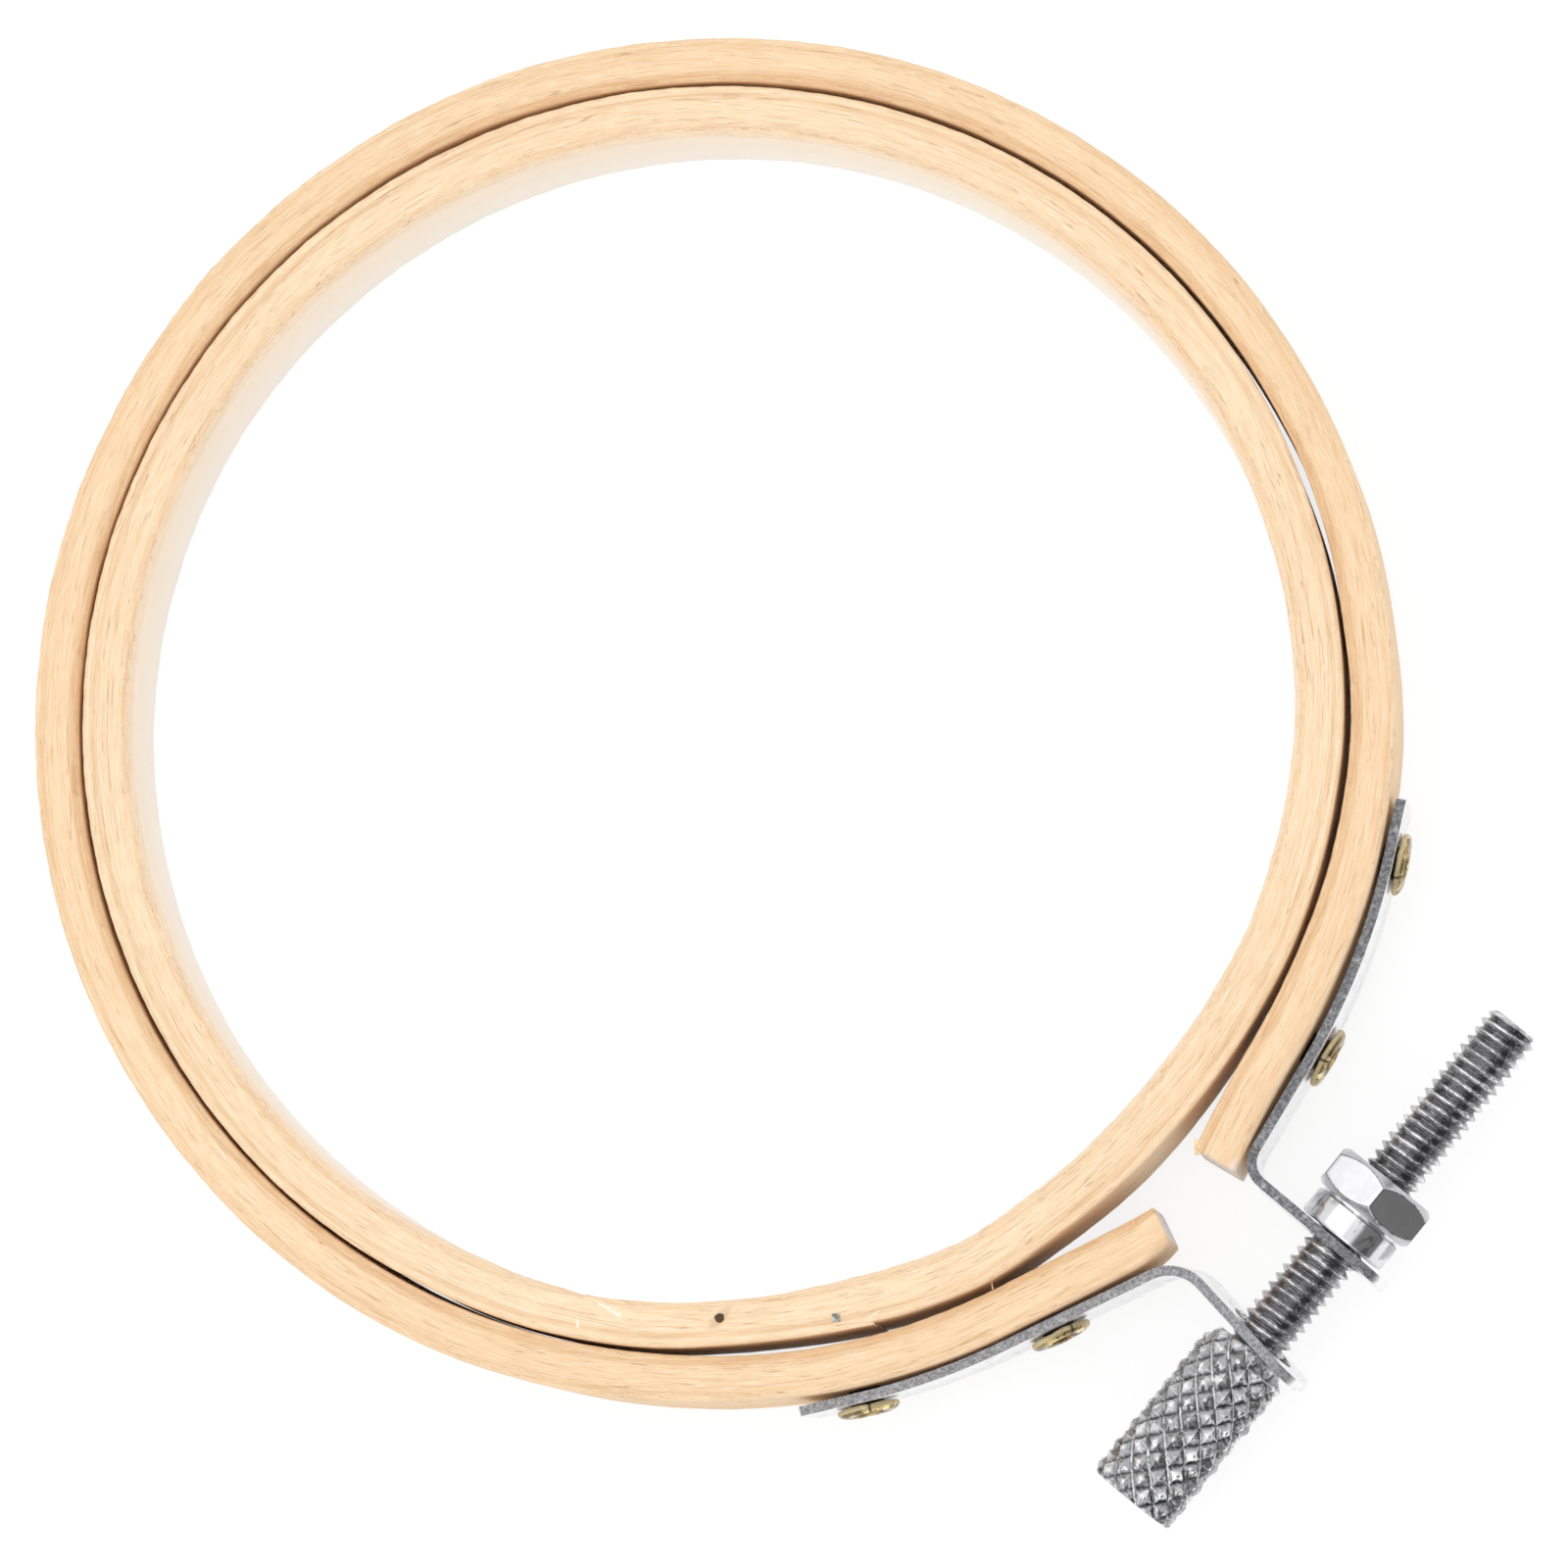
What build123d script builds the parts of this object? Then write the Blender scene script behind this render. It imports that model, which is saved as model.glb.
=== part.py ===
from build123d import *
from dataclasses import dataclass
from math import cos, degrees, radians, sin, tan
import os

# Bamboo embroidery hoop of the 80 mm size, in millimetres.
# The origin is the middle of the opening, half way up the rings, and Z is the rings' axis.
# The clamp is at -Y. Its thumb screw runs along X with the knurled head on the -X side.

# Driving dimensions of the two rings
inner_ring_outer_radius = 40.0
inner_ring_thickness = 3.1
outer_ring_thickness = 2.85
ring_height = 8.0
outer_ring_edge_radius = 0.55
inner_ring_edge_chamfer = 0.4
ring_gap = 0.25            # play between the rings, where the cloth goes
far_side_gap = 0.1         # saw-thin gap between the two halves of the outer ring

# Driving dimensions of the clamp
clamp_stand_off = 8.55     # of the screw from the outer ring's outer face
clamp_offset = 0.3         # of the clamp's middle towards the screw's head
clamp_height = 0.3         # of the screw above the rings' middle plane
screw_skew = 5.2           # degrees that the screw's tip leans in towards the rings
screw_rise = 1.0           # degrees that the screw's tip climbs
flange_spacing = 6.9       # between the two flanges, along the screw

# Bracket strip
strip_width = 6.0
strip_thickness = 0.62
strip_end_length = 3.8     # beyond the far rivet
strip_end_corner_radius = 0.5
flange_overhang = 3.95     # beyond the screw's axis
flange_corner_radius = 2.2
flange_hole_radius = 2.5

# Rivets
rivet_spacing = 12.75
rivet_head_radius = 2.0
rivet_head_height = 0.75
rivet_shank_radius = 1.2
rivet_bore_radius = 0.75
rivet_clinch_radius = 1.9
rivet_clinch_depth = 0.6
rivet_flush_gap = 0.1      # the clinched end stays this far inside the bamboo
rivet_clearance = 0.05

# Thumb screw, with an M4 thread
thread_radius = 1.87
thread_root_radius = 1.48
thread_pitch = 0.7
thread_turns = 36
tip_chamfer = 0.4
head_radius = 3.02
head_length = 11.85
head_end_chamfer = 0.3
head_shoulder_radius = 2.35
head_shoulder_length = 0.95
head_clearance = 0.08

# Nut, a hexagon with a round collar
nut_across_flats = 6.8
nut_turn = 7.0             # degrees of its upper corner outwards from the top
hex_length = 2.75
hex_chamfer = 0.4
collar_radius = 3.08
collar_length = 2.1
collar_edge_radius = 0.25
nut_seat_gap = 0.08        # the nut in the photograph isn't quite tight
nut_bore_clearance = 0.06

# Scarf joint and staple of the inner ring, with angles from the clamp's middle
scarf_outer_angle = -30.0
scarf_inner_angle = -57.0
glue_thickness = 0.12
staple_angle = -39.3
staple_inset = 1.95        # of the staple from the inner ring's outer face
staple_twist = 5.8         # degrees that the staple is turned from the ring's direction
staple_crown = 7.4
staple_wire = 0.55
staple_tip_depth = 0.2     # of its points below the top face
staple_clearance = 0.02

cut_overrun = 1.0


# The two sides of the clamp, which were bent by hand and aren't alike
@dataclass
class Side:
    name: str
    sign: int               # +1 on the +X side of the clamp, -1 on the -X side
    straight_angle: float   # where the bamboo stops curving, from the clamp's middle
    straight_length: float  # from there to the bamboo's cut end
    rivet_setback: float    # of the near rivet from the cut end
    seat_gap: float         # between the bamboo and the bracket's strip
    bend_radius: float      # of the middle of the bracket's strip
    flange_angle: float     # of the flange from the clamp's middle line
    flange_lean: float      # of the flange's top away from the clamp's middle


screw_side = Side(
    name="screw_side",
    sign=-1,
    straight_angle=20.0,
    straight_length=11.8,
    rivet_setback=8.75,
    seat_gap=0.5,
    bend_radius=2.6,
    flange_angle=-3.2,
    flange_lean=5.5,
)
nut_side = Side(
    name="nut_side",
    sign=1,
    straight_angle=13.5,
    straight_length=7.6,
    rivet_setback=8.8,
    seat_gap=0.25,
    bend_radius=1.6,
    flange_angle=4.1,
    flange_lean=0.5,
)

outer_ring_inner_radius = inner_ring_outer_radius + ring_gap
outer_ring_radius = outer_ring_inner_radius + outer_ring_thickness / 2
outer_ring_outer_radius = outer_ring_inner_radius + outer_ring_thickness
clamp_reach = outer_ring_outer_radius + clamp_stand_off
staple_radius = inner_ring_outer_radius - staple_inset

up = Vector(0, 0, 1)


# A point at this radius, with its angle from the clamp's middle towards +X
def polar(radius, angle):
    return Vector(radius * sin(radians(angle)), -radius * cos(radians(angle)))


clamp_middle = Vector(-clamp_offset, -clamp_reach, clamp_height)
screw_direction = Vector(
    cos(radians(screw_skew)) * cos(radians(screw_rise)),
    sin(radians(screw_skew)) * cos(radians(screw_rise)),
    sin(radians(screw_rise)),
)
screw_axis = Axis(clamp_middle, screw_direction)


def on_screw(distance):
    return clamp_middle + screw_direction * distance


# How much further along the screw a flange that isn't square to it reaches at this radius
def flange_reach(side, radius):
    return radius * tan(radians(abs(screw_skew - side.flange_angle)))


# Angle of a point on the strip, counted as CenterArc does
def arc_angle(side, angle):
    return side.sign * angle - 90


# Arc from start_angle round to where the strip stops curving
def curved_run(side, radius, start_angle):
    sweep_angle = -side.sign * (start_angle - side.straight_angle)
    return CenterArc((0, 0), radius, arc_angle(side, start_angle), sweep_angle)


# The bracket's strip, seen from above, with what its rivets and its flange need
class StripLayout:
    def __init__(self, side):
        self.side = side
        strip_radius = outer_ring_outer_radius + side.seat_gap + strip_thickness / 2
        hole_distance = side.sign * (flange_spacing + strip_thickness) / 2
        self.hole_centre = on_screw(hole_distance)
        straight_start = polar(strip_radius, side.sign * side.straight_angle)
        along = -side.sign * polar(1, side.sign * side.straight_angle + 90)
        outward = polar(1, side.flange_angle)
        middle = up * self.hole_centre.Z
        to_hole = self.hole_centre - straight_start - middle
        reach = to_hole.cross(outward).Z / along.cross(outward).Z
        self.corner = straight_start + along * reach
        self.flange_end = self.hole_centre - middle + outward * flange_overhang
        self.plane = Plane.XY.offset(self.hole_centre.Z)
        self.lean = up - along * (tan(radians(side.flange_lean)) / abs(along.cross(outward).Z))
        self.flange_plane = Plane(self.hole_centre, x_dir=outward, z_dir=self.lean.cross(outward))
        curved_length = side.rivet_setback + rivet_spacing - side.straight_length
        far_rivet_angle = side.straight_angle + degrees(curved_length / strip_radius)
        self.arc = curved_run(side, strip_radius, far_rivet_angle)
        self.free_end = self.arc @ 0 - (self.arc % 0) * strip_end_length
        with BuildLine() as leg:
            Line(self.free_end, self.arc @ 0)
            add(self.arc)
            Line(self.arc @ 1, self.arc @ 1 + along * side.straight_length)
        self.leg = leg.wire()
        self.shank_length = strip_thickness + side.seat_gap + outer_ring_thickness - rivet_flush_gap

    # Plane on the strip's outer face at a rivet, with Y outwards and X up
    def rivet_plane(self, distance):
        along = self.leg.tangent_at(distance, position_mode=PositionMode.LENGTH)
        point = self.leg.position_at(distance, position_mode=PositionMode.LENGTH)
        outward = up.cross(along) * self.side.sign
        seat = point + outward * (strip_thickness / 2) + up * self.hole_centre.Z
        return Plane(seat, x_dir=up, z_dir=up.cross(outward))

    def rivet_planes(self):
        distances = (strip_end_length + rivet_spacing, strip_end_length)
        return [self.rivet_plane(distance) for distance in distances]


# Space that a rivet takes up in the bamboo
def rivet_hole(plane, shank_length):
    shank = rivet_shank_radius + rivet_clearance
    clinch = rivet_clinch_radius + rivet_clearance
    clinch_start = -shank_length + rivet_clinch_depth
    through = -shank_length - rivet_flush_gap - cut_overrun
    with BuildPart() as hole:
        with BuildSketch(plane):
            with BuildLine():
                Polyline(
                    (0, cut_overrun),
                    (shank, cut_overrun),
                    (shank, clinch_start),
                    (clinch, -shank_length),
                    (clinch, through),
                    (0, through),
                    close=True,
                )
            make_face()
        revolve(axis=Axis(plane.origin, plane.y_dir))
    return hole.part


def make_rivet(plane, shank_length, name):
    rim_radius = rivet_head_radius - rivet_bore_radius
    crown = (rivet_bore_radius + rim_radius / 2, rivet_head_height)
    with BuildPart() as rivet:
        with BuildSketch(plane):
            with BuildLine():
                rim = Polyline(
                    (rivet_head_radius, rivet_clearance),
                    (rivet_shank_radius, rivet_clearance),
                    (rivet_shank_radius, -shank_length + rivet_clinch_depth),
                    (rivet_clinch_radius, -shank_length),
                    (rivet_bore_radius, -shank_length),
                    (rivet_bore_radius, rivet_clearance),
                )
                ThreePointArc(rim @ 1, crown, rim @ 0)
            make_face()
        revolve(axis=Axis(plane.origin, plane.y_dir))
    rivet.part.label = name
    return rivet


# Half of the outer ring, from the far side round to its cut end at the clamp
def make_outer_half(side, layout):
    far_angle = 180 - degrees(far_side_gap / 2 / outer_ring_radius)
    with BuildLine() as path:
        arc = curved_run(side, outer_ring_radius, far_angle)
        Line(arc @ 1, arc @ 1 + (arc % 1) * side.straight_length)
    start = Plane(arc @ 0, x_dir=arc @ 0, z_dir=arc % 0)
    holes = [rivet_hole(plane, layout.shank_length) for plane in layout.rivet_planes()]
    with BuildPart() as half:
        with BuildSketch(start):
            RectangleRounded(outer_ring_thickness, ring_height, outer_ring_edge_radius)
        sweep(path=path.wire())
        add(holes, mode=Mode.SUBTRACT)
    half.part.label = "outer_ring_" + side.name
    return half


# Bent steel strip, riveted to the bamboo and turned out into the flange that the screw holds
def make_bracket(side, layout):
    half_slant = strip_width / 2 * layout.lean.length
    with BuildPart() as bracket:
        with BuildSketch(layout.plane):
            with BuildLine():
                Line(layout.free_end, layout.arc @ 0)
                add(layout.arc)
                bend_points = (layout.arc @ 1, layout.corner, layout.flange_end)
                FilletPolyline(*bend_points, radius=side.bend_radius)
            trace(line_width=strip_thickness)
        extrude(amount=half_slant, dir=layout.lean, both=True)
        flange_face = bracket.faces().sort_by(Axis.Y)[0]
        fillet(flange_face.edges().sort_by(SortBy.LENGTH)[:2], radius=flange_corner_radius)
        leg_face = bracket.faces().sort_by_distance(layout.plane.from_local_coords(layout.free_end))[0]
        fillet(leg_face.edges().sort_by(SortBy.LENGTH)[:2], radius=strip_end_corner_radius)
        with BuildSketch(layout.flange_plane):
            Circle(flange_hole_radius)
        extrude(amount=cut_overrun, both=True, mode=Mode.SUBTRACT)
        for plane in layout.rivet_planes():
            with BuildSketch(Plane(plane.origin, x_dir=up, z_dir=plane.y_dir)):
                Circle(rivet_shank_radius + rivet_clearance)
            extrude(amount=cut_overrun, both=True, mode=Mode.SUBTRACT)
    bracket.part.label = "bracket_" + side.name
    return bracket


# Solid ring, before the scarf and the staple are cut
def inner_ring_blank():
    with BuildPart() as blank:
        with BuildSketch(Plane.XZ) as section:
            with Locations((inner_ring_outer_radius - inner_ring_thickness / 2, 0)):
                Rectangle(inner_ring_thickness, ring_height)
            chamfer(section.vertices(), length=inner_ring_edge_chamfer)
        revolve(axis=Axis.Z)
    return blank.part


# Sloping slit through the ring's wall, from its outer face to its inner face
def scarf_slit():
    slope = inner_ring_thickness / (scarf_outer_angle - scarf_inner_angle)
    overrun_angle = cut_overrun / slope / 2
    ends = (scarf_outer_angle + overrun_angle, scarf_inner_angle - overrun_angle)
    angles = (ends[0], (ends[0] + ends[1]) / 2, ends[1])
    points = []
    for angle in angles:
        radius = inner_ring_outer_radius - slope * (scarf_outer_angle - angle)
        points.append(polar(radius, angle))
    with BuildPart() as slit:
        with BuildSketch(Plane.XY):
            with BuildLine():
                ThreePointArc(*points)
            trace(line_width=glue_thickness)
        extrude(amount=ring_height, both=True)
    return slit.part


staple_plane = Plane(
    polar(staple_radius, staple_angle),
    x_dir=polar(1, staple_angle - staple_twist + 90),
    z_dir=polar(1, staple_angle - staple_twist + 180),
)


# Square wire bent to a U, with its crown in the ring's bottom face and its points up
def staple_shape(wire, points_height):
    crown_height = -ring_height / 2 + staple_wire / 2
    with BuildPart() as shape:
        with BuildSketch(staple_plane):
            with BuildLine():
                Polyline(
                    (-staple_crown / 2, points_height),
                    (-staple_crown / 2, crown_height),
                    (staple_crown / 2, crown_height),
                    (staple_crown / 2, points_height),
                )
            trace(line_width=wire)
        extrude(amount=wire / 2, both=True)
    return shape.part


screw_side_layout = StripLayout(screw_side)
nut_side_layout = StripLayout(nut_side)

pieces = []
for side, layout in ((screw_side, screw_side_layout), (nut_side, nut_side_layout)):
    pieces.append(make_outer_half(side, layout))
    pieces.append(make_bracket(side, layout))
    near_plane, far_plane = layout.rivet_planes()
    pieces.append(make_rivet(near_plane, layout.shank_length, "rivet_" + side.name + "_near"))
    pieces.append(make_rivet(far_plane, layout.shank_length, "rivet_" + side.name + "_far"))

# Inner ring
blank = inner_ring_blank()
slit = scarf_slit()
staple_pocket = staple_shape(staple_wire + 2 * staple_clearance, ring_height / 2 + cut_overrun)
with BuildPart() as inner_ring:
    add(blank)
    add(slit, mode=Mode.SUBTRACT)
    add(staple_pocket, mode=Mode.SUBTRACT)
inner_ring.part.label = "inner_ring"

# Glue in the scarf
with BuildPart() as scarf_glue:
    add(blank)
    add(slit, mode=Mode.INTERSECT)
    add(staple_pocket, mode=Mode.SUBTRACT)
scarf_glue.part.label = "scarf_glue"

# Staple
staple_wire_solid = staple_shape(staple_wire, ring_height / 2 - staple_tip_depth)
with BuildPart() as inner_ring_staple:
    add(staple_wire_solid)
inner_ring_staple.part.label = "inner_ring_staple"

# Thumb screw, drawn along its axis from the knurled end to the tip
flange_back = flange_spacing / 2 + strip_thickness
shoulder_at = -(flange_back + flange_reach(screw_side, head_shoulder_radius) + head_clearance)
head_end = shoulder_at - head_length
thread_start = shoulder_at + thread_pitch / 2
thread_end = thread_start + thread_turns * thread_pitch
thread_points = []
for turn in range(thread_turns):
    root = thread_start + turn * thread_pitch
    thread_points.append((root, thread_root_radius))
    thread_points.append((root + thread_pitch / 2, thread_radius))
with BuildPart() as thumb_screw:
    with BuildSketch(Plane(clamp_middle, x_dir=screw_direction, z_dir=screw_direction.cross(up))):
        with BuildLine():
            Polyline(
                (head_end, 0),
                (head_end, head_radius - head_end_chamfer),
                (head_end + head_end_chamfer, head_radius),
                (shoulder_at - head_shoulder_length, head_radius),
                (shoulder_at, head_shoulder_radius),
                (shoulder_at, thread_root_radius),
                *thread_points,
                (thread_end, thread_root_radius),
                (thread_end + tip_chamfer, thread_root_radius - tip_chamfer),
                (thread_end + tip_chamfer, 0),
                close=True,
            )
        make_face()
    revolve(axis=screw_axis)
thumb_screw.part.label = "thumb_screw"

# Nut
collar_start = flange_back + flange_reach(nut_side, collar_radius) + nut_seat_gap
hex_start = collar_start + collar_length
hex_corner_radius = nut_across_flats / 2 / cos(radians(180 / 6))
corner_upwards = screw_direction.cross(up).cross(screw_direction).rotate(screw_axis, nut_turn)
with BuildPart() as clamp_nut:
    with BuildSketch(Plane(on_screw(hex_start), x_dir=corner_upwards, z_dir=screw_direction)):
        RegularPolygon(hex_corner_radius, 6)
    extrude(amount=hex_length)
    with BuildSketch(Plane(on_screw(hex_start), x_dir=screw_direction, z_dir=screw_direction.cross(up))):
        with BuildLine():
            Polyline(
                (0, 0),
                (0, hex_corner_radius - hex_chamfer),
                (hex_chamfer / 2, hex_corner_radius),
                (hex_length - hex_chamfer / 2, hex_corner_radius),
                (hex_length, hex_corner_radius - hex_chamfer),
                (hex_length, 0),
                close=True,
            )
        make_face()
    revolve(axis=screw_axis, mode=Mode.INTERSECT)
    with BuildSketch(Plane(on_screw(collar_start), x_dir=corner_upwards, z_dir=screw_direction)):
        Circle(collar_radius)
    extrude(amount=collar_length)
    collar_rim = clamp_nut.edges().filter_by(GeomType.CIRCLE).sort_by(screw_axis)[0]
    fillet(collar_rim, radius=collar_edge_radius)
    with BuildSketch(Plane(on_screw(collar_start), x_dir=corner_upwards, z_dir=screw_direction)):
        Circle(thread_radius + nut_bore_clearance)
    extrude(amount=collar_length + hex_length, mode=Mode.SUBTRACT)
clamp_nut.part.label = "clamp_nut"

pieces += [inner_ring, scarf_glue, inner_ring_staple, thumb_screw, clamp_nut]

os.makedirs("parts", exist_ok=True)
for piece in pieces:
    export_step(piece.part, "parts/" + piece.part.label + ".step")
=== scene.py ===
import bpy
import numpy as np
from mathutils import Matrix, Vector


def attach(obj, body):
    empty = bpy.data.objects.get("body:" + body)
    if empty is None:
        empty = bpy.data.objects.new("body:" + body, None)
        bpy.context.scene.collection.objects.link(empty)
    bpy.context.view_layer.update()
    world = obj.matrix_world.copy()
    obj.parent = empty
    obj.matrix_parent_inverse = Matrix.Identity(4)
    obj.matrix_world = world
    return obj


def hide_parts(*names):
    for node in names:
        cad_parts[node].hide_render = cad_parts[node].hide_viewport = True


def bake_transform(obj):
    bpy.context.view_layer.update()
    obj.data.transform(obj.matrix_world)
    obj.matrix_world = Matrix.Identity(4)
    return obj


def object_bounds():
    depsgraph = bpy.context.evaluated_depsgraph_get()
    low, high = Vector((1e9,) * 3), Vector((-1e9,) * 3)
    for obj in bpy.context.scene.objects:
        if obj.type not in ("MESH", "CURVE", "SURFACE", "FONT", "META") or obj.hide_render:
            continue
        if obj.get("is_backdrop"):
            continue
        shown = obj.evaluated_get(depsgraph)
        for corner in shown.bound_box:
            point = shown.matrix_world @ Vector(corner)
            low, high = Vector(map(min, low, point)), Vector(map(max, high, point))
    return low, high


# Bamboo embroidery hoop, dressed. All lengths here are in millimetres; meshes are
# written in metres. Angles go round the rings' axis from the clamp's middle towards +X.

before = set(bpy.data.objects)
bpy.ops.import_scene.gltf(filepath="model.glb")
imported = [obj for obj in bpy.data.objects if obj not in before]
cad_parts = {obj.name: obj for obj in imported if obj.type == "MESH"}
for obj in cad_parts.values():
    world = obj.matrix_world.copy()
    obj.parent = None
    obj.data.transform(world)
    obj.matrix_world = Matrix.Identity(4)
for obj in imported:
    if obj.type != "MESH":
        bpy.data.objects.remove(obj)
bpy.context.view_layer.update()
print("frame loaded")

millimetre = 0.001


# radius times (sine, minus cosine) of the angle
def polar(radius, angle):
    turn = np.radians(angle)
    return np.stack((radius * np.sin(turn), -radius * np.cos(turn)), axis=-1)


# A smooth curve through knots, given as (angle, value) pairs. The slope at a knot is the
# harmonic mean of the slopes beside it, or none where they differ in sign.
def ease(at, pairs):
    knots, values = np.array(pairs, float).T
    steps = np.diff(values) / np.diff(knots)
    product, total = steps[:-1] * steps[1:], steps[:-1] + steps[1:]
    inner = np.where(product > 0, 2 * product / np.where(product > 0, total, 1), 0)
    slopes = np.concatenate(((0,), inner, (0,)))
    i = np.clip(np.searchsorted(knots, at) - 1, 0, len(knots) - 2)
    gap = knots[i + 1] - knots[i]
    t = np.clip((at - knots[i]) / gap, 0, 1)
    u = 1 - t
    ends = values[i] * (1 + 2 * t) * u * u + values[i + 1] * (3 - 2 * t) * t * t
    return ends + gap * t * u * (slopes[i] * u - slopes[i + 1] * t)


# Sum of sines of these wavelengths, each with its own start, scaled to about +-1
def waves(at, seed, wavelengths):
    starts = np.random.default_rng(seed).uniform(0, 2 * np.pi, len(wavelengths))
    total = sum(np.sin(2 * np.pi * at / w + p) for w, p in zip(wavelengths, starts))
    return total / len(wavelengths) ** 0.5


# Quads between neighbouring rows of points, the columns closed into a ring
def gridFaces(rows, columns, closeRows=False):
    r = np.arange(rows if closeRows else rows - 1)[:, None]
    c = np.arange(columns)[None, :]
    a, b = r * columns, (r + 1) % rows * columns
    d = (c + 1) % columns
    return np.stack((a + c, a + d, b + d, b + c), axis=-1).reshape(-1, 4)


# A tube through rows of points: quads between them and a fan on the middle of each end
def tube(rows):
    n, m = rows.shape[:2]
    middles = np.stack((rows[0].mean(0), rows[-1].mean(0)))
    points = np.concatenate((rows.reshape(-1, 3), middles))
    c = np.arange(m)
    d = (c + 1) % m
    first = np.stack((d, c, np.full(m, n * m)), axis=-1)
    last = np.stack(((n - 1) * m + c, (n - 1) * m + d, np.full(m, n * m + 1)), axis=-1)
    return points, [gridFaces(n, m), first, last]


# A ring-shaped surface: the rows close on themselves too
def torus(rows):
    n, m = rows.shape[:2]
    return rows.reshape(-1, 3), [gridFaces(n, m, closeRows=True)]


# Several shells as one
def together(*shells):
    points, faces, start = [], [], 0
    for shellPoints, shellFaces in shells:
        faces += [f + start for f in shellFaces]
        points.append(shellPoints)
        start += len(shellPoints)
    return np.concatenate(points), faces


# Six times the volume inside, by the sum of each face's triple product
def insideOut(points, faces):
    total = 0.0
    for f in faces:
        p = points[f]
        total += np.einsum("ij,ij->", p[:, 0], np.cross(p[:, 1], p[:, 2]))
        if f.shape[1] == 4:
            total += np.einsum("ij,ij->", p[:, 0], np.cross(p[:, 2], p[:, 3]))
    return total < 0


# Shells in millimetres become one object, with faces outwards and an edge kept sharp
# where it turns more than the angle. The grain is a vector for each point.
def piece(name, shells, finish, body, replaces=(), sharp=38, grain=None):
    shells = [(p, [f[:, ::-1] for f in fs] if insideOut(p, fs) else fs) for p, fs in shells]
    points, faces = together(*shells)
    mesh = bpy.data.meshes.new(name)
    corners = np.concatenate([f.ravel() for f in faces]).astype(np.int32)
    sizes = np.concatenate([np.full(len(f), f.shape[1]) for f in faces])
    starts = np.concatenate(([0], np.cumsum(sizes)[:-1])).astype(np.int32)
    mesh.vertices.add(len(points))
    mesh.vertices.foreach_set("co", (points * millimetre).astype(np.float32).ravel())
    mesh.loops.add(len(corners))
    mesh.loops.foreach_set("vertex_index", corners)
    mesh.polygons.add(len(sizes))
    mesh.polygons.foreach_set("loop_start", starts)
    mesh.update(calc_edges=True)
    mesh.validate()
    if grain is not None:
        layer = mesh.attributes.new("grain", "FLOAT_VECTOR", "POINT")
        layer.data.foreach_set("vector", grain.astype(np.float32).ravel())
    mesh.shade_smooth()
    mesh.set_sharp_from_angle(angle=np.radians(sharp))
    mesh.materials.append(finish)
    thing = bpy.data.objects.new(name, mesh)
    bpy.context.scene.collection.objects.link(thing)
    if isinstance(body, str):
        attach(thing, body)
    else:
        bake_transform(thing)
    if replaces:
        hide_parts(*replaces)
    return thing


# One node output; sums and products of it add Math nodes
class Shade:
    def __init__(self, tree, socket):
        self.tree, self.socket = tree, socket

    def maths(self, operation, *values):
        node = self.tree.nodes.new("ShaderNodeMath")
        node.operation = operation
        for place, value in zip(node.inputs, values):
            if isinstance(value, Shade):
                self.tree.links.new(value.socket, place)
            else:
                place.default_value = value
        return Shade(self.tree, node.outputs[0])

    def __add__(self, other):
        return self.maths("ADD", self, other)

    def __radd__(self, other):
        return self.maths("ADD", other, self)

    def __sub__(self, other):
        return self.maths("SUBTRACT", self, other)

    def __rsub__(self, other):
        return self.maths("SUBTRACT", other, self)

    def __mul__(self, other):
        return self.maths("MULTIPLY", self, other)

    def __rmul__(self, other):
        return self.maths("MULTIPLY", other, self)

    def __truediv__(self, other):
        return self.maths("DIVIDE", self, other)

    def __abs__(self):
        return self.maths("ABSOLUTE", self)

    # 0 below low, 1 above high, a straight ramp between
    def between(self, low, high):
        ramp = (self - low) / (high - low)
        return self.maths("MINIMUM", self.maths("MAXIMUM", ramp, 0.0), 1.0)


# A new material, or a world, and its nodes
class Finish:
    def __init__(self, owner):
        self.owner = bpy.data.materials.new(owner) if isinstance(owner, str) else owner
        self.owner.use_nodes = True
        self.tree = self.owner.node_tree
        self.tree.nodes.clear()

    def node(self, kind, settings=None, inputs=None, output=0):
        made = self.tree.nodes.new("ShaderNode" + kind)
        for key, value in (settings or {}).items():
            setattr(made, key, value)
        for key, value in (inputs or {}).items():
            if isinstance(value, Shade):
                self.tree.links.new(value.socket, made.inputs[key])
            else:
                made.inputs[key].default_value = value
        return Shade(self.tree, made.outputs[output]) if made.outputs else None

    def mix(self, factor, a, b):
        return self.node("Mix", {"data_type": "RGBA"}, {0: factor, 6: a, 7: b}, 2)

    def scaled(self, vector, by):
        return self.node("VectorMath", {"operation": "MULTIPLY"}, {0: vector, 1: by})

    def noise(self, vector, scale, detail=2.0, roughness=0.5, distortion=0.0):
        return self.node("TexNoise", {}, {"Vector": vector, "Scale": scale, "Detail": detail,
                                          "Roughness": roughness, "Distortion": distortion})

    def bump(self, strength, distance, height):
        return self.node("Bump", {}, {"Strength": strength, "Distance": distance, "Height": height})

    def place(self):
        return self.node("TexCoord", output="Object")

    def parts(self, vector):
        return [self.node("SeparateXYZ", {}, {0: vector}, i) for i in range(3)]

    def mark(self):
        return self.node("Attribute", {"attribute_name": "grain"}, output="Vector")

    def distance(self, vector, point):
        return self.node("VectorMath", {"operation": "DISTANCE"}, {0: vector, 1: point}, "Value")

    def ray(self, kind):
        return self.node("LightPath", output=kind)

    def done(self, **inputs):
        named = {key.replace("_", " "): value for key, value in inputs.items()}
        shader = self.node("BsdfPrincipled", {}, named)
        self.node("OutputMaterial", {}, {"Surface": shader})
        return self.owner


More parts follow.
